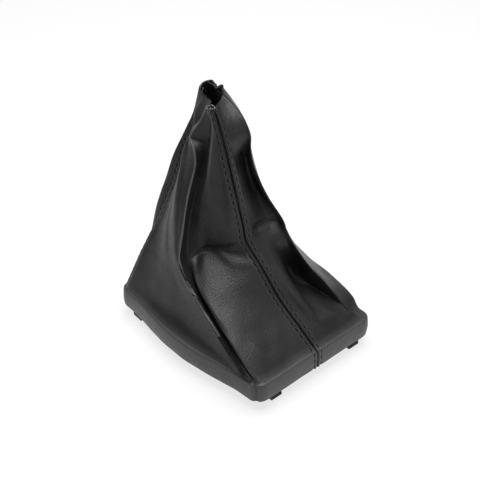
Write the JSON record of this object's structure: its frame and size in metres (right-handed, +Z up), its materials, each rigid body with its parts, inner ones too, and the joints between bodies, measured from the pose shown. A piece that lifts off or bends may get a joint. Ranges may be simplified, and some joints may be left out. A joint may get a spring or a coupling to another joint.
{
  "type": "gear lever gaiter",
  "caption": "Folded leather skirt on a bowed rectangular plastic frame with hooked clips, narrowing to a crumpled neck for a car gear lever.",
  "frame": {"origin": "middle of the base outline, level with the feet of the clips", "axes": "+X across the car, +Y towards the front end panel, +Z up"},
  "size_m": [0.127, 0.151, 0.174],
  "materials": {
    "leather": "black grained leather, semi-matt",
    "frame_plastic": "black moulded plastic"
  },
  "bodies": {
    "root": {"left_panel": "leather", "front_panel": "leather", "right_panel": "leather", "base_frame": "frame_plastic"}
  },
  "joints": []
}
